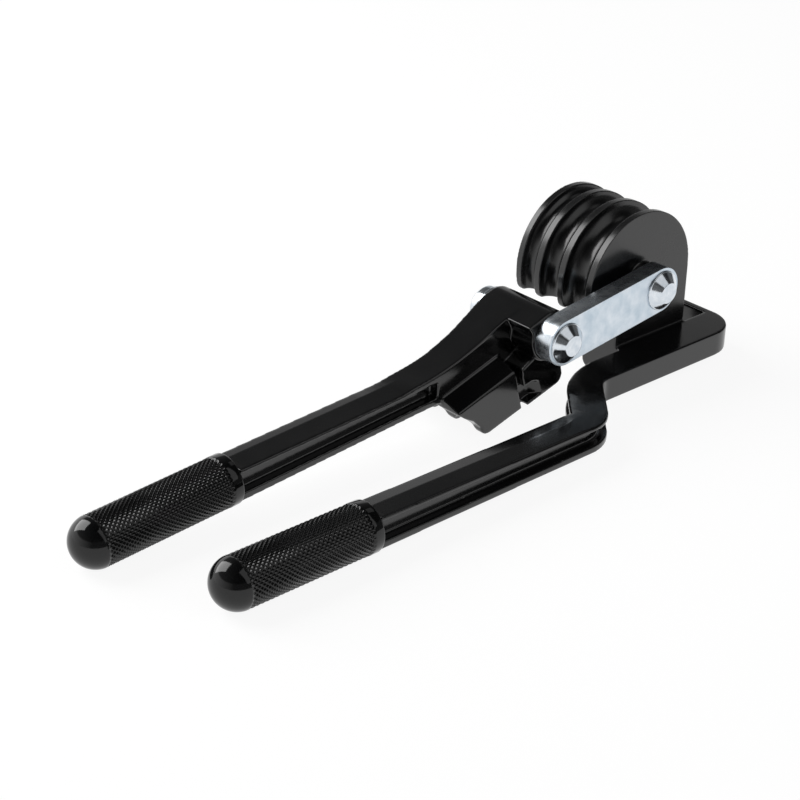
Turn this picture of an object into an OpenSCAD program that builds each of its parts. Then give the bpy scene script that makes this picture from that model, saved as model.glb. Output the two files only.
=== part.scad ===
// Lever tube bender for three tube sizes, with two knurled grips.
// Millimetres. The table is the plane Z = 0, the wheel pin stands above the
// origin, +X points from the grips to the hook, +Z points up, and the near
// face of the bending wheel lies in the plane Y = 0.

/* [Bending wheel] */
// Bend radius, which is also the rim radius of the wheel
bend_radius = 24; // [22:0.5:26]
// Diameter of the largest tube, in the groove nearest the link
tube_large = 10; // [9:0.5:11]
// Diameter of the middle tube
tube_middle = 8; // [7:0.5:9]
// Diameter of the smallest tube, in the groove farthest from the link
tube_small = 6; // [5:0.5:7]
// Play of a tube in its groove, on the diameter
groove_play = 0.1; // [0:0.05:0.3]
// Width of each rim beside the grooves
rim_width = 2.38; // [2:0.02:3]
// Angle round the wheel at which the rims end
rim_end_angle = 199; // [190:1:205]
// Height of the wheel pin above the table
pin_height = 33.55; // [32:0.25:36]
// Radius of the raised round boss behind the link
boss_radius = 6.6; // [6:0.1:8]

/* [Foot and hook] */
// Where the foot ends, measured back from the pin
foot_back = 9.5; // [8:0.5:14]
// How far the foot reaches under the bar
foot_under = 6; // [3:0.5:10]
// Radius of the lower far corner of the foot
foot_corner = 3; // [1:0.5:4]
// Height of the underside of the bar above the table
bar_lift = 3.55; // [2:0.25:4]
// Height of the bar from underside to top
bar_height = 8.35; // [7:0.25:10]
// Width of the bar
bar_width = 14.1; // [12:0.5:16]
// Width of the slot a tube passes through, measured from the rim
slot_width = 11.35; // [11:0.25:14]
// Thickness of the hook wall beyond the slot
hook_wall = 2.95; // [2.5:0.25:5]
// Corner radius of the bar at the hook end
hook_corner = 12.5; // [6:0.5:13]

/* [Wheel handle] */
// Sideways distance from the wheel face to the middle of the handle
handle_offset = 29.4; // [28:0.2:31]
// Width of both handle beams
beam_width = 12; // [11:0.5:13]
// Height of both beams at the grip end
beam_height_grip = 10.8; // [10:0.2:12]
// Height of both beams at the head end
beam_height_head = 9.4; // [9:0.2:10]
// Depth of the channels in the sides of the beams
channel_depth = 3.4; // [2:0.2:4]
// Thickness of the lower flanges
lower_flange = 2.4; // [2:0.1:3]
// Thickness of the upper flanges
upper_flange = 1.8; // [1.4:0.1:2.6]
// Angle of the bend that sets the handle to one side
jog_angle = 48; // [42:1:52]
// Bend radius on the far side of the jog
jog_far_radius = 34; // [30:1:36]
// Bend radius on the near side of the jog
jog_near_radius = 16.7; // [14:0.5:20]
// Radius of the hollow corner where the bar turns into the jog
jog_corner_radius = 8; // [6:0.5:9]

/* [Shoe handle] */
// Distance between the two rivets of the link
link_length = 44.7; // [44:0.1:46]
// Angle of the link in the stored position
link_angle = 187.3; // [186:0.1:189]
// Radius of the hub that carries the shoe
hub_radius = 8.4; // [8:0.1:9]
// Far end of the hub
hub_far = 22.6; // [21:0.2:24]
// Sideways position of the middle of the shoe handle
shoe_handle_middle = 12.96; // [12.6:0.1:13.4]
// Rise of the shoe handle towards the hub
handle_rise = 4; // [3.5:0.1:4.5]
// Slope of the working face of the shoe
shoe_slope = 15.8; // [15:0.1:17]
// Near side of the shoe, in front of the wheel face
shoe_near = 1.4; // [1:0.1:1.6]
// How far the rear block of the shoe lies back from its near side
shoe_step = 0.6; // [0.2:0.1:0.8]
// Length of the front block of the shoe, back from the point under the hub
cheek_back = 13.3; // [13:0.1:14]
// How far the working face leads on beyond the point under the hub
cheek_lead = 3.3; // [3:0.1:4]
// Radius at the leading end of the working face
cheek_round = 3.4; // [2:0.1:4]
// Height of the front block above the working face
cheek_height = 11.3; // [10.5:0.1:12]

/* [Link and rivets] */
// Width of the link plate
link_width = 15.5; // [15:0.25:17]
// Thickness of the link plate
link_thickness = 6.4; // [5:0.2:7]
// Radius of the rivet shafts
rivet_radius = 4; // [3.5:0.1:4.4]
// Radius of the foot of the rivet heads
head_radius = 6.8; // [6:0.1:7.4]
// Radius of the flat top of the rivet heads
head_flat = 3.5; // [3:0.1:4]
// Height of the near rivet heads
head_height = 3.3; // [2:0.1:4]
// Thickness of the washers under the far rivet heads
washer_thickness = 1.6; // [1:0.1:2]
// Radius of the washers
washer_radius = 7.6; // [7.4:0.1:8]

/* [Grips] */
// Diameter of the grips
grip_diameter = 16.3; // [15:0.1:16.6]
// Length of a grip from its round end to its collar
grip_length = 55.3; // [52:0.5:60]
// Length of the smooth collar of a grip
collar_length = 3.6; // [2:0.2:6]
// Radius of the round tang inside a grip
tang_radius = 5; // [4:0.1:5.2]
// Distance from the middle of the round end of a grip to the tip of the tang
tang_tip = 7.2; // [4:0.2:16]

/* [Clearances] */
// Gap on the radius between a rivet and the casting that turns on it
pivot_clearance = 0.05; // [0.05:0.01:0.1]
// Gap on the radius between a pin and the piece that sits fast on it
seat_clearance = 0.02; // [0.02:0.01:0.05]
// Gap between faces that slide past one another
side_clearance = 0.1; // [0.05:0.05:0.3]
// Gap between the shoe and the rims when the tube is clamped
shoe_clearance = 0.4; // [0.3:0.1:0.6]
// Gap between the near side of the shoe and the bar it passes
bar_clearance = 0.3; // [0.3:0.1:0.8]

/* [Hidden] */
$fn = 96;

// Wheel grooves, from near to far
groove_large = tube_large / 2 + groove_play / 2;
groove_middle = tube_middle / 2 + groove_play / 2;
groove_small = tube_small / 2 + groove_play / 2;
y_large = rim_width + groove_large;
y_middle = y_large + groove_large + rim_width + groove_middle;
y_small = y_middle + groove_middle + rim_width + groove_small;
wheel_width = y_small + groove_small + rim_width;
rim_end_z = pin_height + bend_radius * sin(rim_end_angle);
rim_end_x = bend_radius * cos(rim_end_angle);
column_back = bend_radius - groove_large - 9;
foot_width = y_middle - groove_middle;

// Heights and edges of the bar, the hook and the jog
bar_top = bar_lift + bar_height;
hook_inner = bend_radius + slot_width;
hook_outer = hook_inner + hook_wall;
bar_far = -shoe_near - bar_clearance;
handle_near = -handle_offset - beam_width / 2;
handle_far = -handle_offset + beam_width / 2;
jog_start = -21;
jog_corner = jog_start - 10;
beam_start = jog_corner - 29;
grip_radius = grip_diameter / 2;
ball_x = -192;
collar_x = ball_x - grip_radius + grip_length;
tang_length = grip_length - grip_radius - tang_tip;

// Pivots and the shoe handle
hub_x = link_length * cos(link_angle);
hub_z = pin_height + link_length * sin(link_angle);
shoe_distance = link_length - bend_radius - shoe_clearance;
face_x = hub_x + shoe_distance * sin(shoe_slope);
face_z = hub_z - shoe_distance * cos(shoe_slope);
shoe_ball_x = ball_x - 16.9;
shoe_middle = shoe_handle_middle;
shoe_collar_x = shoe_ball_x + (grip_length - grip_radius) * cos(handle_rise);
arm_near = shoe_middle - beam_width / 2;
arm_far = shoe_middle + beam_width / 2;
block_near = shoe_near - shoe_step;
block_end = cheek_back + 2.1;
heel_radius = 3;
heel_x = face_x - (face_z - heel_radius + heel_radius / cos(shoe_slope)) / tan(shoe_slope);
channel_end = hub_x - 39.7;
arm_start = hub_x - 49.2;

// The stack of link, bosses and washers along the pins
link_back = -3.2;
link_front = link_back - link_thickness;
pivot_face = link_back + side_clearance;
bore_radius = rivet_radius + pivot_clearance;
seat_radius = rivet_radius + seat_clearance;

// Height of the axis of the shoe handle at a place along it
function shoe_axis(x) = grip_radius + (x - shoe_ball_x) * tan(handle_rise);

// Half the height of a beam at a share of its length from the grip
function half_height(s) = (beam_height_grip + (beam_height_head - beam_height_grip) * s) / 2;

// The place at a distance along the working face of the shoe and a height above it
function face_at(u, w) = [face_x + u * cos(shoe_slope) - w * sin(shoe_slope),
    face_z + u * sin(shoe_slope) + w * cos(shoe_slope)];

// Points on an arc, from one angle to another
function arc_points(cx, cy, r, from, to) =
    [for (i = [0:12]) [cx + r * cos(from + (to - from) * i / 12),
        cy + r * sin(from + (to - from) * i / 12)]];

// A flat shape in the X and Z directions, made solid between two Y values
module across(from, to) {
    translate([0, to, 0]) rotate([90, 0, 0]) linear_extrude(height = to - from) children();
}

// A round bar along Y
module pin_along(x, z, r, from, to) {
    translate([x, from, z]) rotate([-90, 0, 0]) cylinder(h = to - from, r = r);
}

// The three half round grooves, cut in the edge of the shape at a distance
module groove_circles(at) {
    translate([at, y_large]) circle(r = groove_large);
    translate([at, y_middle]) circle(r = groove_middle);
    translate([at, y_small]) circle(r = groove_small);
}

// Plan of the straight grooved part below the wheel
module column_plan(back, far) {
    difference() {
        translate([back, 0]) square([bend_radius - back, far]);
        groove_circles(bend_radius);
    }
}

// The grooved wheel, cut off where the rims end
module wheel_rims() {
    intersection() {
        translate([0, 0, pin_height]) rotate([-90, 0, 0]) rotate_extrude() difference() {
            square([bend_radius, wheel_width]);
            groove_circles(bend_radius);
        }
        across(-1, wheel_width + 1) polygon([
            [bend_radius + 2, pin_height], [bend_radius + 2, pin_height + bend_radius + 2],
            [-bend_radius - 2, pin_height + bend_radius + 2], [-bend_radius - 2, rim_end_z + 2.2],
            [rim_end_x - 0.8, rim_end_z + 2.2], [rim_end_x + 0.9, rim_end_z],
            [0, rim_end_z], [0, pin_height]]);
    }
}

// Foot and straight grooved part below the wheel
module wheel_base() {
    translate([0, 0, rim_end_z]) linear_extrude(height = pin_height - rim_end_z)
        column_plan(0, wheel_width);
    translate([0, 0, bar_lift]) linear_extrude(height = rim_end_z - bar_lift)
        column_plan(column_back, wheel_width);
    translate([-foot_back, -foot_under, 0])
        cube([foot_back + column_back, foot_under + 1, bar_lift + 1]);
    difference() {
        linear_extrude(height = rim_end_z) column_plan(-foot_back, foot_width);
        difference() {
            translate([-foot_back - 1, foot_width - foot_corner, -1])
                cube([foot_back + bend_radius + 2, foot_corner + 1, foot_corner + 1]);
            translate([-foot_back - 2, foot_width - foot_corner, foot_corner])
                rotate([0, 90, 0]) cylinder(h = foot_back + bend_radius + 4, r = foot_corner);
        }
    }
}

// Plan of the bar with its rounded end and the hook wall
module bar_plan() {
    translate([-foot_back, -bar_width])
        square([foot_back + hook_outer - hook_corner, bar_width]);
    translate([jog_start, -bar_width]) square([-foot_back - jog_start, bar_width + bar_far]);
    translate([hook_outer - hook_corner, -bar_width + hook_corner])
        square([hook_corner, bar_width - hook_corner]);
    intersection() {
        translate([hook_outer - hook_corner, -bar_width + hook_corner]) circle(r = hook_corner);
        translate([0, -bar_width]) square([hook_outer, bar_width]);
    }
    translate([hook_inner, -1]) square([hook_wall, wheel_width + 1 - hook_wall / 2]);
    translate([hook_inner + hook_wall / 2, wheel_width - hook_wall / 2])
        circle(r = hook_wall / 2);
}

// Plan of the jog and the handle beam, drawn in by a depth on both sides
module handle_plan(inset) {
    far_r = jog_far_radius - inset;
    near_r = jog_near_radius - inset;
    hollow_r = jog_corner_radius + inset;
    end_y = bar_far - inset - far_r * (1 - cos(jog_angle));
    end_x = jog_start - far_r * sin(jog_angle);
    far_corner = end_x - (end_y - handle_far + inset) / tan(jog_angle);
    start_y = handle_near + inset + near_r * (1 - cos(jog_angle));
    near_corner = jog_corner - inset * tan(jog_angle / 2);
    start_x = near_corner - (-bar_width + inset - start_y) / tan(jog_angle);
    near_x = start_x - near_r * sin(jog_angle);
    polygon(concat(
        arc_points(jog_start, bar_far - inset - far_r, far_r, 90, 90 + jog_angle),
        [[far_corner, handle_far - inset], [collar_x, handle_far - inset],
            [collar_x, handle_near + inset]],
        arc_points(near_x, handle_near + inset + near_r, near_r, -90, -90 + jog_angle),
        arc_points(near_corner + hollow_r * tan(jog_angle / 2), -bar_width + inset - hollow_r,
            hollow_r, 90 + jog_angle, 90),
        [[jog_start, -bar_width + inset]]));
}

// Side view of the handle between two amounts above its underside and below its top
module handle_side(up, down) {
    polygon([
        [jog_start, bar_lift + up], [jog_corner, bar_lift + up],
        [beam_start, grip_radius - half_height(1) + up],
        [collar_x, grip_radius - half_height(0) + up],
        [collar_x, grip_radius + half_height(0) - down],
        [beam_start, grip_radius + half_height(1) - down],
        [jog_corner, bar_top - down], [jog_start, bar_top - down]]);
}

// The handle beam with a channel along each side
module handle_beam() {
    difference() {
        intersection() {
            linear_extrude(height = pin_height) handle_plan(0);
            across(handle_near - 10, 10) handle_side(0, 0);
        }
        difference() {
            across(handle_near - 10, 10) intersection() {
                handle_side(lower_flange, upper_flange);
                translate([collar_x - 2, 0]) square([jog_corner - 2 - collar_x, pin_height]);
            }
            translate([0, 0, -1]) linear_extrude(height = pin_height) handle_plan(channel_depth);
        }
    }
}

module bending_wheel() color([0.02, 0.02, 0.02]) {
    difference() {
        union() {
            wheel_rims();
            wheel_base();
            pin_along(0, pin_height, boss_radius, pivot_face, 1);
            translate([0, 0, bar_lift]) linear_extrude(height = bar_height) bar_plan();
        }
        pin_along(0, pin_height, bore_radius, pivot_face - 1, wheel_width + 1);
    }
}

module wheel_handle() color([0.02, 0.02, 0.02]) {
    handle_beam();
    translate([collar_x - tang_length, -handle_offset, grip_radius])
        rotate([0, 90, 0]) cylinder(h = tang_length + 1, r = tang_radius);
}

// Places along the top of the arm, from the beam up to the hub
arm_top = [
    [arm_start - 16, shoe_axis(arm_start - 16) + half_height(0.85)],
    [arm_start - 6.5, shoe_axis(arm_start - 6.5) + half_height(0.93)],
    [hub_x - 42.2, hub_z - 5.6], [hub_x - 32.2, hub_z - 3.2], [hub_x - 22.6, hub_z + 0.2],
    [hub_x - 14.9, hub_z + 3.7], [hub_x - 8, hub_z + 6.3],
    [hub_x - hub_radius * 0.25, hub_z + hub_radius * 0.96]];

// A smooth line through a list of places, five steps between each two
function smooth_through(p) = concat(
    [for (i = [0:len(p) - 2], k = [0:4]) let(t = k / 5, a = p[max(i - 1, 0)], b = p[i],
        c = p[i + 1], d = p[min(i + 2, len(p) - 1)])
        (2 * b + (c - a) * t + (2 * a - 5 * b + 4 * c - d) * t * t
            + (3 * b - a - 3 * c + d) * t * t * t) / 2],
    [p[len(p) - 1]]);

// Side view of the shoe handle beam and its arm up to the hub
module arm_side() {
    polygon([
        [shoe_collar_x + half_height(0) * sin(handle_rise),
            shoe_axis(shoe_collar_x) - half_height(0) * cos(handle_rise)],
        [shoe_collar_x - half_height(0) * sin(handle_rise),
            shoe_axis(shoe_collar_x) + half_height(0) * cos(handle_rise)],
        for (p = smooth_through(arm_top)) p,
        [hub_x, hub_z + 2], [hub_x, hub_z - 7], [hub_x - 7, hub_z - 15], [hub_x - 25.7, hub_z - 15],
        [channel_end, shoe_axis(channel_end) - half_height(1)],
        [arm_start, shoe_axis(arm_start) - half_height(1)]]);
}

// Plan of the arm, which widens towards the far end of the hub
module arm_plan() {
    flare = hub_far - arm_far;
    polygon([[shoe_collar_x - 5, arm_near], [hub_x + 1, arm_near], [hub_x + 1, hub_far],
        [hub_x - 5.7, hub_far], [hub_x - 14.7, arm_far + flare * 0.5],
        [hub_x - 22.7, arm_far + flare * 0.25], [hub_x - 36, arm_far],
        [shoe_collar_x - 5, arm_far]]);
}

// Side view of the channel in the shoe handle beam
module arm_channel() {
    polygon([
        [shoe_collar_x - 1, shoe_axis(shoe_collar_x) - half_height(0) + lower_flange],
        [shoe_collar_x - 1, shoe_axis(shoe_collar_x) + half_height(0) - upper_flange],
        [arm_start, shoe_axis(arm_start) + half_height(1) - upper_flange],
        [channel_end, shoe_axis(channel_end) + half_height(1) - upper_flange],
        [channel_end, shoe_axis(channel_end) - half_height(1) + lower_flange],
        [arm_start, shoe_axis(arm_start) - half_height(1) + lower_flange]]);
}

// A side view drawn along the working face of the shoe, made solid between two Y values
module on_face(from, to) {
    translate([face_x, 0, face_z]) rotate([0, -shoe_slope, 0]) across(from, to) children();
}

// Side view of the blocks of the shoe, with a round heel and a round leading end
module block_side() {
    polygon(concat(
        [[hub_x - 37.7, hub_z - 17], [hub_x - 34.3, hub_z - 19.5], [hub_x - 30.6, hub_z - 21.6]],
        arc_points(heel_x, heel_radius, heel_radius, 180, 270 + shoe_slope),
        [for (p = arc_points(cheek_lead - cheek_round, cheek_round, cheek_round, 270, 360))
            face_at(p[0], p[1])],
        [face_at(cheek_lead, cheek_height), face_at(0.5 - block_end, cheek_height),
            face_at(0.5 - block_end, 22), [hub_x - 21.7, hub_z - 2],
            [hub_x - 37.7, hub_z - 12]]));
}

// Side view of the wall with a sloping back that joins the front block to the hub
module cheek_wall() {
    polygon([
        [hub_x - 6.9, hub_z - 7.2], [hub_x - 10.7, hub_z - 9.5], [hub_x - 9.7, hub_z - 14],
        [hub_x + 2, hub_z - 17],
        [hub_x + hub_radius - 1, hub_z - 15.5], [hub_x + hub_radius - 1, hub_z - 3], [hub_x, hub_z],
        [hub_x, hub_z - 4]]);
}

// Side view of the web that runs out from the top of the hub to a lip
module hub_lip() {
    polygon([
        [hub_x - 10.2, hub_z + 5.5], [hub_x - hub_radius * 0.31, hub_z + hub_radius * 0.95],
        [hub_x, hub_z + 2], [hub_x - 7.9, hub_z], [hub_x - 8.6, hub_z + 3]]);
}

// The blocks of the shoe: sloping shoulders, a slot between the two and a pocket
module shoe_block() {
    difference() {
        across(-shoe_near, wheel_width) block_side();
        translate([hub_x - 25.7, 0, hub_z - 13.1]) rotate([0, -17, 0]) rotate([90, 0, 90])
            translate([0, 0, -25]) linear_extrude(height = 70) polygon([
                [-shoe_near - 1, -0.35], [arm_near, 2.9], [arm_far, 2.9],
                [wheel_width + 1, -4.4], [wheel_width + 1, 30], [-shoe_near - 1, 30]]);
        on_face(-shoe_near - 1, -block_near)
            translate([-60, -10]) square([59 - cheek_back, 50]);
        on_face(-shoe_near - 1, 1.8)
            translate([-block_end, -1]) square([block_end - cheek_back, 40]);
        translate([face_x, 0, face_z]) rotate([0, -shoe_slope, 0]) translate([0, 0, 1.2])
            linear_extrude(height = 6.3) polygon([[-6.9, -shoe_near - 0.1], [-10.2, 1.8],
                [-cheek_back - 1, 1.8], [-cheek_back - 1, -shoe_near - 0.1]]);
    }
    across(-shoe_near, hub_far) cheek_wall();
}

// The three grooves of the working face, in line with those of the wheel
module shoe_grooves() {
    translate([face_x, 0, face_z]) rotate([0, -90 - shoe_slope, 0])
        translate([0, 0, -10]) linear_extrude(height = 60) groove_circles(0);
}

module shoe_handle() color([0.02, 0.02, 0.02]) {
    difference() {
        union() {
            intersection() {
                across(arm_near, hub_far) arm_side();
                linear_extrude(height = 2 * pin_height) arm_plan();
            }
            pin_along(hub_x, hub_z, hub_radius, pivot_face, hub_far);
            across(pivot_face, arm_near + 1) hub_lip();
            shoe_block();
            translate([shoe_ball_x, shoe_middle, grip_radius]) rotate([0, -handle_rise, 0])
                translate([tang_tip, 0, 0])
                rotate([0, 90, 0]) cylinder(h = tang_length + 1, r = tang_radius);
        }
        across(arm_near - 1, arm_near + channel_depth) arm_channel();
        across(arm_far - channel_depth, arm_far + 1) arm_channel();
        pin_along(hub_x, hub_z, bore_radius, pivot_face - 1, wheel_width + 1);
        across(hub_far, wheel_width + 1) translate([hub_x, hub_z]) circle(r = washer_radius + 1);
        shoe_grooves();
    }
}

module link_plate() color([0.75, 0.78, 0.82]) {
    across(link_front, link_back) difference() {
        union() {
            translate([0, pin_height]) circle(r = link_width / 2);
            translate([hub_x, hub_z]) circle(r = link_width / 2);
            translate([0, pin_height]) rotate(link_angle)
                translate([0, -link_width / 2]) square([link_length, link_width]);
        }
        translate([0, pin_height]) circle(r = seat_radius);
        translate([hub_x, hub_z]) circle(r = seat_radius);
    }
}

// A rivet along Y with a cone shaped near head and a button shaped far head
module rivet(x, z, far) {
    pin_along(x, z, rivet_radius, link_front - 0.5, far + 0.5);
    translate([x, link_front, z]) rotate([90, 0, 0])
        cylinder(h = head_height, r1 = head_radius, r2 = head_flat);
    pin_along(x, z, head_radius, far, far + 3.2);
    translate([x, far + 3.2, z]) rotate([-90, 0, 0])
        cylinder(h = 1.6, r1 = head_radius, r2 = head_radius - 1.6);
}

module wheel_rivet() color([0.75, 0.78, 0.82]) {
    rivet(0, pin_height, wheel_width + side_clearance + washer_thickness);
}

module shoe_rivet() color([0.75, 0.78, 0.82]) {
    rivet(hub_x, hub_z, hub_far + side_clearance + washer_thickness);
}

module washer(x, z, near) {
    difference() {
        pin_along(x, z, washer_radius, near, near + washer_thickness);
        pin_along(x, z, seat_radius, near - 1, near + washer_thickness + 1);
    }
}

module rivet_washers() color([0.75, 0.78, 0.82]) {
    washer(0, pin_height, wheel_width + side_clearance);
    washer(hub_x, hub_z, hub_far + side_clearance);
}

// A grip with its round end at the origin and its collar towards +X
module grip() {
    difference() {
        union() {
            sphere(r = grip_radius);
            rotate([0, 90, 0]) cylinder(h = grip_length - grip_radius - 0.8, r = grip_radius);
            translate([grip_length - grip_radius - 0.8, 0, 0]) rotate([0, 90, 0])
                cylinder(h = 0.8, r1 = grip_radius, r2 = grip_radius - 0.8);
        }
        translate([tang_tip, 0, 0]) rotate([0, 90, 0])
            cylinder(h = tang_length + 1, r = tang_radius + seat_clearance);
        translate([grip_length - grip_radius - collar_length - 0.5, 0, 0]) rotate([0, 90, 0])
            difference() {
                cylinder(h = 0.5, r = grip_radius + 1);
                translate([0, 0, -1]) cylinder(h = 3, r = grip_radius - 0.4);
            }
    }
}

module wheel_grip() color([0.03, 0.03, 0.03]) {
    translate([ball_x, -handle_offset, grip_radius]) grip();
}

module shoe_grip() color([0.03, 0.03, 0.03]) {
    translate([shoe_ball_x, shoe_middle, grip_radius]) rotate([0, -handle_rise, 0]) grip();
}

bending_wheel();
wheel_handle();
shoe_handle();
link_plate();
wheel_rivet();
shoe_rivet();
rivet_washers();
wheel_grip();
shoe_grip();
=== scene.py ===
from contextlib import contextmanager
import math

import bmesh
import bpy
from mathutils import Matrix, Vector


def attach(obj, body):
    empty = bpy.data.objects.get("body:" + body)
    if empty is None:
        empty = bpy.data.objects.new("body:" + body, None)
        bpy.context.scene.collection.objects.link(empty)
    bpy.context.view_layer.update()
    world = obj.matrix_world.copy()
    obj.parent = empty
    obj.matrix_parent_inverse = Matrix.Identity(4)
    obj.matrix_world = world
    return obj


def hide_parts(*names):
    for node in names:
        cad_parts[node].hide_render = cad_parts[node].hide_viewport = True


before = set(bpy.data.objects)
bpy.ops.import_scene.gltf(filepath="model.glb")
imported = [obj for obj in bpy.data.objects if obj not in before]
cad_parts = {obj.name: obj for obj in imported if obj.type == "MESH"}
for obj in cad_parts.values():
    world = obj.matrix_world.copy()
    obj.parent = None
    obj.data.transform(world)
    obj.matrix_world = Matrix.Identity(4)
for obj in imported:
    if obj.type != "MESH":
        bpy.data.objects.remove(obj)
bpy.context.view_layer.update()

MM = 0.001

# Camera and frame
CAMERA_AZIMUTH = math.radians(-42.785)
CAMERA_ELEVATION = math.radians(27.262)
CAMERA_ROLL = math.radians(1.569)
CAMERA_AT = Vector((-0.492755, -0.417453, 0.317242))
CAMERA_NEAR, CAMERA_FAR = 0.01, 60.0
FOCAL_PIXELS = 2120.5
FRAME_PIXELS = 800
SENSOR_MM = 36.0

# Sizes repeated from the part, in millimetres
PIN = (0.0, 33.55)
LINK_ANGLE = math.radians(187.3)
LINK_LENGTH = 44.7
HUB = (LINK_LENGTH * math.cos(LINK_ANGLE), PIN[1] + LINK_LENGTH * math.sin(LINK_ANGLE))
LINK_FRONT = -9.6
RIVET_RADIUS = 4.0
HEAD_RADIUS = 6.8
HEAD_FLAT = 3.5
HEAD_HEIGHT = 3.3
FAR_HEAD_HEIGHT = 4.8
WASHER = 1.6
WASHER_RADIUS = 7.6
WHEEL_WIDTH = 33.82
RIM_RADIUS = 24.0
HUB_FAR = 22.6
SIDE_GAP = 0.1
GRIP_RADIUS = 8.15
GRIP_LENGTH = 55.3
COLLAR = 3.6
TANG_RADIUS = 5.0
TANG_TIP = 7.2
WHEEL_BALL = (-192.0, -29.4, GRIP_RADIUS)
SHOE_BALL = (-208.9, 12.96, GRIP_RADIUS)
HANDLE_RISE = math.radians(4.0)
CASTING_JOIN_X = -21.0
BAR_TOP = 11.9
BEAM_HALF_WIDTH = 6.0
HEAD_HALF_HEIGHT, GRIP_END_HALF_HEIGHT = 4.7, 5.4
WHEEL_BEAM_END_X, BAR_START_X = -60.0, -31.0
SHOE_BEAM_END_X = HUB[0] - 49.2


# Mesh helpers
def object_from(bm, name):
    """Makes a bmesh into an object of the scene."""
    mesh = bpy.data.meshes.new(name)
    bm.to_mesh(mesh)
    bm.free()
    obj = bpy.data.objects.new(name, mesh)
    bpy.context.scene.collection.objects.link(obj)
    return obj


@contextmanager
def edited(mesh):
    """Opens a mesh as a bmesh and writes the changes back."""
    bm = bmesh.new()
    bm.from_mesh(mesh)
    yield bm
    bm.to_mesh(mesh)
    bm.free()


def bake(obj):
    """Replaces the mesh of an object by what its modifiers make of it."""
    bpy.context.view_layer.update()
    graph = bpy.context.evaluated_depsgraph_get()
    mesh = bpy.data.meshes.new_from_object(obj.evaluated_get(graph))
    obj.modifiers.clear()
    obj.data = mesh


def node_copy(name, *nodes):
    """A copy of CAD nodes as one mesh with its doubled corners joined."""
    bm = bmesh.new()
    for node in nodes:
        bm.from_mesh(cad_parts[node].data)
    bmesh.ops.remove_doubles(bm, verts=bm.verts, dist=0.002 * MM)
    return object_from(bm, name)


def open_join(mesh, x):
    """Takes out the faces with which two nodes meet in the plane X = x."""
    tolerance = 0.005
    with edited(mesh) as bm:
        doubled = [face for face in bm.faces
                   if all(abs(vert.co.x - x * MM) < tolerance * MM for vert in face.verts)]
        bmesh.ops.delete(bm, geom=doubled, context="FACES_ONLY")


def round_edges(obj, voxel, smoothing):
    """Rounds every edge and inner corner, as on a casting."""
    remesh = obj.modifiers.new("remesh", "REMESH")
    remesh.mode = "VOXEL"
    remesh.voxel_size = voxel * MM
    remesh.adaptivity = 0.0
    remesh.use_smooth_shade = True
    smooth = obj.modifiers.new("smooth", "SMOOTH")
    smooth.factor = 0.5
    smooth.iterations = smoothing
    bake(obj)


def shade_smooth(obj, angle=math.radians(35)):
    """Shades an object smooth, but for its edges sharper than an angle."""
    obj.data.polygons.foreach_set("use_smooth", [True] * len(obj.data.polygons))
    with edited(obj.data) as bm:
        for edge in bm.edges:
            if len(edge.link_faces) == 2:
                edge.smooth = edge.calc_face_angle(0.0) < angle


def place(obj, at, angle, axis):
    """Turns the mesh of an object about an axis and moves it to a point in millimetres."""
    turn = Matrix.Rotation(angle, 4, axis)
    obj.data.transform(Matrix.Translation(Vector(at) * MM) @ turn)
    obj.data.update()


def lathe(name, profile, segments=96):
    """A turned piece: (radius, height) points turned about the local Z axis."""
    bm = bmesh.new()
    rings = []
    for radius, height in profile:
        if radius == 0.0:
            rings.append([bm.verts.new((0, 0, height * MM))])
            continue
        angles = [2 * math.pi * i / segments for i in range(segments)]
        rings.append([bm.verts.new((radius * MM * math.cos(angle),
                                    radius * MM * math.sin(angle),
                                    height * MM)) for angle in angles])
    for low, high in zip(rings, rings[1:]):
        for i in range(segments):
            j = (i + 1) % segments
            if len(low) == 1:
                bm.faces.new((low[0], high[j], high[i]))
            elif len(high) == 1:
                bm.faces.new((low[i], low[j], high[0]))
            else:
                bm.faces.new((low[i], low[j], high[j], high[i]))
    bmesh.ops.recalc_face_normals(bm, faces=bm.faces)
    return object_from(bm, name)


def fillet(points, radius, steps=4):
    """The (radius, height) profile with its inner points rounded."""
    out = [points[0]]
    for before, corner, after in zip(points, points[1:], points[2:]):
        a, b, c = Vector(before), Vector(corner), Vector(after)
        r = min(radius, (a - b).length * 0.49, (c - b).length * 0.49)
        p, q = b + (a - b).normalized() * r, b + (c - b).normalized() * r
        for i in range(steps + 1):
            t = i / steps
            out.append(tuple(p * (1 - t) ** 2 + b * (2 * t * (1 - t)) + q * t ** 2))
    out.append(points[-1])
    return out


# Materials
def add(tree, kind, **values):
    """Adds a shader node and sets its properties and inputs by name."""
    node = tree.nodes.new(kind)
    for key, value in values.items():
        if hasattr(node, key):
            setattr(node, key, value)
        else:
            node.inputs[key.replace("_", " ")].default_value = value
    return node


def grey(value):
    return (value, value, value, 1.0)


def ramp(tree, source, stops):
    """A colour ramp of (position, colour) stops, fed by a socket."""
    node = add(tree, "ShaderNodeValToRGB")
    elements = node.color_ramp.elements
    while len(elements) > 1:
        elements.remove(elements[-1])
    elements[0].position, elements[0].color = stops[0]
    for position, color in stops[1:]:
        elements.new(position).color = color
    tree.links.new(source, node.inputs["Fac"])
    return node


def noise_bump(tree, coords, shader, layers):
    """Bump from noise layers of (scale in 1/m, depth in mm)."""
    last = None
    for scale, depth in layers:
        tex = add(tree, "ShaderNodeTexNoise", Scale=scale, Detail=2.0, Roughness=0.5)
        tree.links.new(coords, tex.inputs["Vector"])
        bump = add(tree, "ShaderNodeBump", Strength=1.0, Distance=depth * MM)
        tree.links.new(tex.outputs["Fac"], bump.inputs["Height"])
        if last:
            tree.links.new(last.outputs["Normal"], bump.inputs["Normal"])
        last = bump
    tree.links.new(last.outputs["Normal"], shader.inputs["Normal"])


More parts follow.
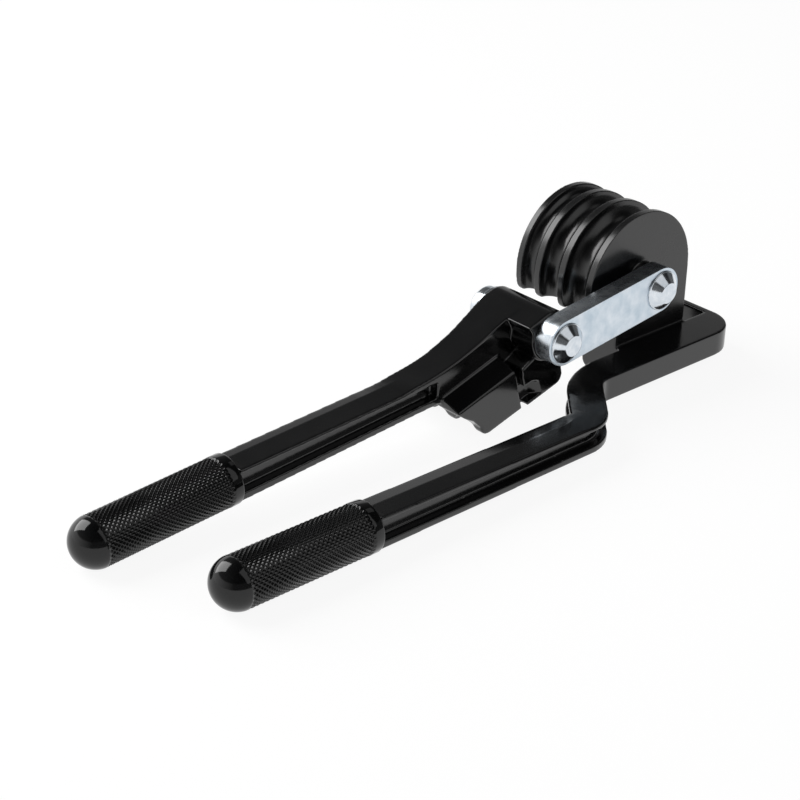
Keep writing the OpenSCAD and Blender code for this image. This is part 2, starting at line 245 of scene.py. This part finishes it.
def clouded(name, fixed, bumps, cloud, roughness, tints):
    """A material whose roughness and tint drift between two values each.

    fixed holds the shader's plain inputs, and cloud the noise's scale in 1/m and detail.
    """
    mat = bpy.data.materials.new(name)
    mat.use_nodes = True
    tree = mat.node_tree
    shader = tree.nodes["Principled BSDF"]
    for key, value in fixed.items():
        shader.inputs[key].default_value = value
    coords = add(tree, "ShaderNodeTexCoord").outputs["Object"]
    noise_bump(tree, coords, shader, bumps)
    tex = add(tree, "ShaderNodeTexNoise", Scale=cloud[0], Detail=cloud[1])
    tree.links.new(coords, tex.inputs["Vector"])
    ends = {"Roughness": [grey(value) for value in roughness],
            "Base Color": [(*color, 1.0) for color in tints]}
    for socket, (low, high) in ends.items():
        drift = ramp(tree, tex.outputs["Fac"], [(0.3, low), (0.7, high)])
        tree.links.new(drift.outputs["Color"], shader.inputs[socket])
    return mat


def black_paint(name, smooth, rough):
    return clouded(name, {"IOR": 1.6}, [(70.0, 0.012), (700.0, 0.0015)], (60.0, 4.0),
                   (smooth, rough), [(0.0030, 0.0032, 0.0036), (0.0050, 0.0051, 0.0054)])


def polished_zinc(name, smooth, rough):
    return clouded(name, {"Metallic": 1.0}, [(500.0, 0.006), (2500.0, 0.002)], (400.0, 3.0),
                   (smooth, rough), [(0.60, 0.66, 0.72), (0.76, 0.80, 0.84)])


PAINT = black_paint("black_paint", 0.12, 0.19)
WHEEL_PAINT = black_paint("black_paint_wheel", 0.18, 0.30)
POLISHED = polished_zinc("polished_zinc", 0.10, 0.18)
CUT_EDGE = polished_zinc("cut_edge_zinc", 0.24, 0.32)
ZINC = clouded("zinc", {"Metallic": 1.0}, [(260.0, 0.03), (1500.0, 0.006)], (220.0, 4.0),
               (0.30, 0.42), [(0.50, 0.59, 0.67), (0.76, 0.82, 0.88)])
GRIP = clouded("grip_black", {"IOR": 1.45}, [(300.0, 0.004)], (200.0, 3.0),
               (0.05, 0.11), [(0.0040, 0.0042, 0.0045), (0.0065, 0.0067, 0.007)])


def finish_piece(obj, mat, body, slot, *nodes):
    """Gives a piece its material and body, and hides the CAD nodes it stands for."""
    obj.data.materials.clear()
    obj.data.materials.append(mat)
    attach(obj, body)
    if nodes:
        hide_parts(*nodes)


def second_material(obj, mat, wanted):
    """Gives a second material to the faces that a test picks."""
    obj.data.materials.append(mat)
    for face in obj.data.polygons:
        if wanted(face):
            face.material_index = 1


# Castings
ROUNDING_VOXEL, ROUNDING_STEPS = ((0.32, 12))
RIM_ALLOWANCE = 0.35
RIM_BAND = (RIM_RADIUS - 1.8, RIM_RADIUS - 0.5)
RIM_MARGIN = 0.5
RIM_FARTHEST_X = RIM_RADIUS + 1.0
RIM_LOWEST_Z = 13.0
ROOF_DEPTH = 1.6
ROOF_ABOVE = 1.0
ROOF_FADE = 0.6
ROOF_RUN_IN = 5.0
ROOF_MARGIN = 1.5
ROOF_FAR, ROOF_NEAR = math.tan(math.radians(4.5)), math.tan(math.radians(3.0))
WHEEL_RIDGE, SHOE_RIDGE = 0.9, 2.0
WHEEL_BEAM_PATH = [(-148.0, -29.4), (-62.0, -29.4), (-50.5, -27.0), (-46.0, -22.2)]
SHOE_BEAM_PATH = [(-165.0, 12.96), (-93.0, 12.96)]
WHEEL_PAINT_FROM = (-26.0, BAR_TOP + 0.2)


def smoothstep(low, high, value):
    t = min(1.0, max(0.0, (value - low) / (high - low)))
    return t * t * (3 - 2 * t)


def rim_growth(radius):
    """How far a place at a radius moves out, at most to the rim radius."""
    wanted = RIM_ALLOWANCE * smoothstep(*RIM_BAND, radius)
    return max(0.0, min(wanted, RIM_RADIUS - radius))


def keep_rims(mesh):
    """Moves the tops of the rims out again by what the rounding took off."""
    for vert in mesh.vertices:
        x, y, z = vert.co / MM
        beside = not -RIM_MARGIN < y < WHEEL_WIDTH + RIM_MARGIN
        if beside or x > RIM_FARTHEST_X or z < RIM_LOWEST_Z:
            continue
        z -= PIN[1]
        if z < 0 and x > 0:
            vert.co.x += rim_growth(x) * MM
            continue
        radius = math.hypot(x, z)
        grow = rim_growth(radius) / max(radius, 1.0)
        vert.co.x += x * grow * MM
        vert.co.z += z * grow * MM


def off_path(x, y, path):
    """Distance in plan to the far side of a line of points, and how far in from its ends."""
    best, inward = math.inf, 0.0
    for (ax, ay), (bx, by) in zip(path, path[1:]):
        dx, dy = bx - ax, by - ay
        length = math.hypot(dx, dy)
        held = min(max(((x - ax) * dx + (y - ay) * dy) / length, 0.0), length)
        away = math.hypot(x - ax - held * dx / length, y - ay - held * dy / length)
        if away < abs(best):
            far_side = dx * (y - ay) - dy * (x - ax) > 0
            best = away if far_side else -away
            inward = min(x - path[0][0], path[-1][0] - x)
    return best, inward


def roof(mesh, path, ridge, top):
    """Gives a beam top a low ridge, from which it falls off to both sides."""
    for vert in mesh.vertices:
        x, y, z = vert.co / MM
        if not path[0][0] < x < path[-1][0]:
            continue
        depth = top(x) - z
        if not -ROOF_ABOVE < depth < ROOF_DEPTH:
            continue
        away, inward = off_path(x, y, path)
        if abs(away) > BEAM_HALF_WIDTH + ROOF_MARGIN:
            continue
        away = max(-BEAM_HALF_WIDTH, min(away, BEAM_HALF_WIDTH)) - ridge
        drop = away * ROOF_FAR if away > 0 else -away * ROOF_NEAR
        run_in = min(1.0, inward / ROOF_RUN_IN)
        fade = min(1.0, (ROOF_DEPTH - depth) / (ROOF_DEPTH * ROOF_FADE))
        vert.co.z -= drop * run_in * fade * MM


def between(low, high, share):
    """The value at a share of the way, held between the two ends."""
    return low + (high - low) * min(1.0, max(0.0, share))


def wheel_beam_top(x):
    """Height of the wheel handle's top: a tapering beam, then the rise to the bar."""
    if x > WHEEL_BEAM_END_X:
        share = (x - WHEEL_BEAM_END_X) / (BAR_START_X - WHEEL_BEAM_END_X)
        return between(GRIP_RADIUS + HEAD_HALF_HEIGHT, BAR_TOP, share)
    start = WHEEL_BALL[0] - GRIP_RADIUS + GRIP_LENGTH
    share = (x - start) / (WHEEL_BEAM_END_X - start)
    return GRIP_RADIUS + between(GRIP_END_HALF_HEIGHT, HEAD_HALF_HEIGHT, share)


def shoe_beam_top(x):
    """Height of the shoe handle's top: a tapering beam that rises from its grip."""
    start = SHOE_BALL[0] + (GRIP_LENGTH - GRIP_RADIUS) * math.cos(HANDLE_RISE)
    share = (x - start) / (SHOE_BEAM_END_X - start)
    middle = GRIP_RADIUS + (x - SHOE_BALL[0]) * math.tan(HANDLE_RISE)
    return middle + between(GRIP_END_HALF_HEIGHT, HEAD_HALF_HEIGHT, share)


def on_wheel(face):
    """Whether a face belongs to the wheel above the bar."""
    return (face.center.x > WHEEL_PAINT_FROM[0] * MM
            and face.center.z > WHEEL_PAINT_FROM[1] * MM)


wheel_casting = node_copy("wheel_casting", "bending_wheel", "wheel_handle")
open_join(wheel_casting.data, CASTING_JOIN_X)
round_edges(wheel_casting, ROUNDING_VOXEL, ROUNDING_STEPS)
keep_rims(wheel_casting.data)
roof(wheel_casting.data, WHEEL_BEAM_PATH, WHEEL_RIDGE, wheel_beam_top)
finish_piece(wheel_casting, PAINT, "wheel_side", "black_paint", "bending_wheel", "wheel_handle")
second_material(wheel_casting, WHEEL_PAINT, on_wheel)

shoe_casting = node_copy("shoe_casting", "shoe_handle")
round_edges(shoe_casting, ROUNDING_VOXEL, ROUNDING_STEPS)
roof(shoe_casting.data, SHOE_BEAM_PATH, SHOE_RIDGE, shoe_beam_top)
finish_piece(shoe_casting, PAINT, "shoe_side", "black_paint", "shoe_handle")


# Link and rivets
LINK_ROUNDING = 0.4
HEAD_FOOT, HEAD_STEP = 0.5, 0.45
HEAD_BEVEL = 0.1
HEAD_ROUNDING = 0.3
DIMPLE = [(0.0, -0.12), (0.4, -0.1), (0.8, 0.0)]
FAR_HEAD_SIDE = 3.2
FAR_HEAD_SLOPE = 1.6
FAR_HEAD_ROUNDING = 0.6


def link_bar():
    """The plate with rounded edges and two rivet holes."""
    obj = node_copy("link_bar", "link_plate")
    with edited(obj.data) as bm:
        bmesh.ops.dissolve_limit(bm, angle_limit=math.radians(0.5), verts=bm.verts,
                                 edges=bm.edges)
    bevel = obj.modifiers.new("bevel", "BEVEL")
    bevel.width = LINK_ROUNDING * MM
    bevel.segments = 4
    bevel.limit_method = "ANGLE"
    bevel.angle_limit = math.radians(40)
    bake(obj)
    shade_smooth(obj)
    return obj


def on_edge(face):
    """Whether a face lies off the link's two flat sides."""
    return abs(face.normal.y) < 0.9


link_piece = link_bar()
finish_piece(link_piece, ZINC, "link", "zinc", "link_plate")
second_material(link_piece, CUT_EDGE, on_edge)


def rivet_piece(name, node, x, z, far):
    """A rivet along Y: cone shaped near head with a dimple, button shaped far head."""
    seat = -LINK_FRONT
    top = seat + HEAD_HEIGHT
    near_head = [(DIMPLE[-1][0], top),
                 (HEAD_FLAT, top),
                 (HEAD_RADIUS - HEAD_STEP, seat + HEAD_FOOT + HEAD_BEVEL),
                 (HEAD_RADIUS - HEAD_BEVEL, seat + HEAD_FOOT),
                 (HEAD_RADIUS, seat + HEAD_BEVEL),
                 (HEAD_RADIUS, seat),
                 (RIVET_RADIUS, seat)]
    far_head = [(RIVET_RADIUS, -far),
                (HEAD_RADIUS, -far),
                (HEAD_RADIUS, -far - FAR_HEAD_SIDE),
                (HEAD_RADIUS - FAR_HEAD_SLOPE, -far - FAR_HEAD_HEIGHT),
                (0.0, -far - FAR_HEAD_HEIGHT)]
    profile = [(radius, top + height) for radius, height in DIMPLE]
    profile += fillet(near_head, HEAD_ROUNDING)[1:]
    profile += fillet(far_head, FAR_HEAD_ROUNDING)
    obj = lathe(name, profile)
    place(obj, (x, 0, z), math.radians(90), "X")
    shade_smooth(obj)
    finish_piece(obj, POLISHED, "link", "zinc", node)


def washer_piece(name, x, z, near, *nodes):
    """A washer along Y, whose profile almost closes on itself."""
    profile = fillet([(RIVET_RADIUS, WASHER), (RIVET_RADIUS, 0.0), (WASHER_RADIUS, 0.0),
                      (WASHER_RADIUS, WASHER), (RIVET_RADIUS + 0.01, WASHER)], HEAD_ROUNDING)
    obj = lathe(name, profile)
    place(obj, (x, near, z), math.radians(-90), "X")
    shade_smooth(obj)
    finish_piece(obj, POLISHED, "link", "zinc", *nodes)


wheel_far, hub_far = WHEEL_WIDTH + SIDE_GAP, HUB_FAR + SIDE_GAP
rivet_piece("wheel_rivet_turned", "wheel_rivet", *PIN, wheel_far + WASHER)
rivet_piece("shoe_rivet_turned", "shoe_rivet", *HUB, hub_far + WASHER)
washer_piece("wheel_washer", *PIN, wheel_far, "rivet_washers")
washer_piece("shoe_washer", *HUB, hub_far)


# Grips
KNURL_STARTS = 34
KNURL_LEAD = 1.765
KNURL_DEPTH = 0.6
KNURL_SAMPLES = 8
KNURL_FROM = -0.9
BALL_STEPS = 24
COLLAR_STEP = 0.3
COLLAR_EDGE = [(-0.8, 0.0), (-0.5, -0.09), (-0.2, -0.33), (0.0, -0.8)]


def grip_rings():
    """The grip as (place, radius, share of the knurl) from its round end to its bore."""
    knurl_to = GRIP_LENGTH - GRIP_RADIUS - COLLAR
    rings = []
    for i in range(BALL_STEPS + 1):
        t = math.acos(-KNURL_FROM / GRIP_RADIUS) * i / BALL_STEPS
        rings.append((-GRIP_RADIUS * math.cos(t), GRIP_RADIUS * math.sin(t), 0.0))
    count = int((knurl_to - KNURL_FROM) / (KNURL_LEAD / KNURL_SAMPLES))
    for i in range(1, count + 1):
        x = KNURL_FROM + (knurl_to - KNURL_FROM) * i / count
        radius = math.sqrt(GRIP_RADIUS ** 2 - min(x, 0) ** 2)
        share = min(1.0, 2 * i / KNURL_SAMPLES, 2 * (count - i) / KNURL_SAMPLES)
        rings.append((x, radius, share))
    end = GRIP_LENGTH - GRIP_RADIUS
    rings.append((knurl_to + COLLAR_STEP, GRIP_RADIUS, 0.0))
    rings += [(end + along, GRIP_RADIUS + out, 0.0) for along, out in COLLAR_EDGE]
    rings += [(end, TANG_RADIUS, 0.0), (TANG_TIP, TANG_RADIUS, 0.0)]
    return rings


def knurl(k, x):
    """Share of the knurl's depth that is cut away at a sample of the ring at x."""
    u, v = k / KNURL_SAMPLES, x / KNURL_LEAD
    a = abs(((u + v) % 1.0) - 0.5) * 2
    b = abs(((u - v) % 1.0) - 0.5) * 2
    return max(1 - a, 1 - b)


def grip_piece(name, node, body, ball, rise):
    """A moulded grip: blunt round end, diamond knurl and a smooth collar."""
    around = KNURL_STARTS * KNURL_SAMPLES
    bm = bmesh.new()
    loops = []
    for x, r, share in grip_rings():
        if r == 0.0:
            loops.append([bm.verts.new((x * MM, 0, 0))])
            continue
        loop = []
        for k in range(around):
            angle = 2 * math.pi * k / around
            radius = r - KNURL_DEPTH * share * knurl(k, x) if share > 0 else r
            loop.append(bm.verts.new((x * MM, radius * MM * math.cos(angle),
                                      radius * MM * math.sin(angle))))
        loops.append(loop)
    for low, high in zip(loops, loops[1:]):
        for i in range(around):
            j = (i + 1) % around
            if len(low) == 1:
                bm.faces.new((low[0], high[i], high[j]))
            else:
                bm.faces.new((low[i], high[i], high[j], low[j]))
    bm.faces.new(loops[-1])
    bmesh.ops.recalc_face_normals(bm, faces=bm.faces)
    obj = object_from(bm, name)
    place(obj, ball, -rise, "Y")
    shade_smooth(obj, math.radians(50))
    finish_piece(obj, GRIP, body, "grip_black", node)


grip_piece("wheel_grip_knurled", "wheel_grip", "wheel_side", WHEEL_BALL, 0.0)
grip_piece("shoe_grip_knurled", "shoe_grip", "shoe_side", SHOE_BALL, HANDLE_RISE)


# Floor, light and camera
FLOOR_SIZE = 15.0
FLOOR_GLOW, FLOOR_SHADOW, FLOOR_BOUNCE = 0.91, 0.14, 0.8
SKY_BY_HEIGHT = [(0.0, 1.0), (0.38, 1.0), (0.45, 0.22), (0.80, 0.14), (1.0, 0.04)]
SKY_BRIGHT_SIDE = (-0.45, 0.89, 0.0)
LIGHT_AIM = Vector((-0.08, 0.0, 0.02))


def floor():
    """White with a soft shadow to the camera and in reflections, plain grey to other rays."""
    bm = bmesh.new()
    bmesh.ops.create_grid(bm, x_segments=8, y_segments=8, size=FLOOR_SIZE)
    obj = object_from(bm, "floor")
    mat = bpy.data.materials.new("floor_white")
    mat.use_nodes = True
    tree = mat.node_tree
    tree.nodes.clear()
    path = add(tree, "ShaderNodeLightPath")
    seen = add(tree, "ShaderNodeMath", operation="MAXIMUM")
    seen_all = add(tree, "ShaderNodeMath", operation="MAXIMUM")
    bounce = add(tree, "ShaderNodeBsdfDiffuse", Color=grey(FLOOR_BOUNCE))
    shadow = add(tree, "ShaderNodeBsdfDiffuse", Color=grey(FLOOR_SHADOW))
    glow = add(tree, "ShaderNodeEmission", Color=grey(1.0), Strength=FLOOR_GLOW)
    both = add(tree, "ShaderNodeAddShader")
    mix = add(tree, "ShaderNodeMixShader")
    out = add(tree, "ShaderNodeOutputMaterial")
    for source, target in [(path.outputs["Is Camera Ray"], seen.inputs[0]),
                           (path.outputs["Is Glossy Ray"], seen.inputs[1]),
                           (seen.outputs[0], seen_all.inputs[0]),
                           (path.outputs["Is Transmission Ray"], seen_all.inputs[1]),
                           (glow.outputs[0], both.inputs[0]),
                           (shadow.outputs[0], both.inputs[1]),
                           (seen_all.outputs[0], mix.inputs[0]),
                           (bounce.outputs[0], mix.inputs[1]),
                           (both.outputs[0], mix.inputs[2]),
                           (mix.outputs[0], out.inputs["Surface"])]:
        tree.links.new(source, target)
    obj.data.materials.append(mat)


def studio_world():
    """A dim studio: bright low down, dark overhead, brightest behind the tool."""
    world = bpy.data.worlds.new("studio")
    world.use_nodes = True
    bpy.context.scene.world = world
    tree = world.node_tree
    background = tree.nodes["Background"]
    coords = add(tree, "ShaderNodeTexCoord").outputs["Generated"]
    split = add(tree, "ShaderNodeSeparateXYZ")
    tree.links.new(coords, split.inputs[0])
    height = ramp(tree, split.outputs["Z"], [(z, grey(value)) for z, value in SKY_BY_HEIGHT])
    side = add(tree, "ShaderNodeVectorMath", operation="DOT_PRODUCT")
    side.inputs[1].default_value = SKY_BRIGHT_SIDE
    tree.links.new(coords, side.inputs[0])
    around = add(tree, "ShaderNodeMapRange", From_Min=-0.2, From_Max=1.0,
                 To_Min=0.12, To_Max=1.25)
    tree.links.new(side.outputs["Value"], around.inputs["Value"])
    both = add(tree, "ShaderNodeVectorMath", operation="SCALE")
    tree.links.new(height.outputs["Color"], both.inputs[0])
    tree.links.new(around.outputs["Result"], both.inputs["Scale"])
    tree.links.new(both.outputs["Vector"], background.inputs["Color"])


def softbox(name, azimuth, elevation, width, height, radiance, roll=0.0, distance=1.0):
    """A soft rectangle of that radiance, seen from the tool at two angles in degrees."""
    a, e = math.radians(azimuth), math.radians(elevation)
    toward = Vector((math.cos(a) * math.cos(e), math.sin(a) * math.cos(e), math.sin(e)))
    light = bpy.data.lights.new(name, "AREA")
    light.shape = "RECTANGLE"
    light.size, light.size_y = width, height
    light.energy = math.pi * radiance * width * height
    obj = bpy.data.objects.new(name, light)
    aim = (-toward).to_track_quat("-Z", "Y").to_matrix()
    turn = aim @ Matrix.Rotation(math.radians(roll), 3, "Z")
    obj.matrix_world = Matrix.Translation(LIGHT_AIM + toward * distance) @ turn.to_4x4()
    bpy.context.scene.collection.objects.link(obj)


def camera():
    """The camera that was fitted to the photograph."""
    a, e = CAMERA_AZIMUTH, CAMERA_ELEVATION
    forward = Vector((-math.sin(a) * math.cos(e), math.cos(a) * math.cos(e), -math.sin(e)))
    level = Vector((math.cos(a), math.sin(a), 0))
    rise = level.cross(forward)
    right = math.cos(CAMERA_ROLL) * level + math.sin(CAMERA_ROLL) * rise
    up = -math.sin(CAMERA_ROLL) * level + math.cos(CAMERA_ROLL) * rise
    data = bpy.data.cameras.new("camera")
    data.sensor_fit = "HORIZONTAL"
    data.sensor_width = SENSOR_MM
    data.lens = SENSOR_MM * FOCAL_PIXELS / FRAME_PIXELS
    data.clip_start, data.clip_end = CAMERA_NEAR, CAMERA_FAR
    obj = bpy.data.objects.new("camera", data)
    turn = Matrix((right, up, -forward)).transposed()
    obj.matrix_world = Matrix.Translation(CAMERA_AT) @ turn.to_4x4()
    bpy.context.scene.collection.objects.link(obj)
    bpy.context.scene.camera = obj


floor()
studio_world()
softbox("key", azimuth=118, elevation=38, width=0.62, height=0.85, radiance=4.8, roll=-26)
softbox("fill", azimuth=-72, elevation=45, width=0.75, height=1.06, radiance=0.75)
softbox("side", azimuth=5, elevation=52, width=0.3, height=0.25, radiance=0.35)
camera()
bpy.context.scene.view_settings.view_transform = "Standard"
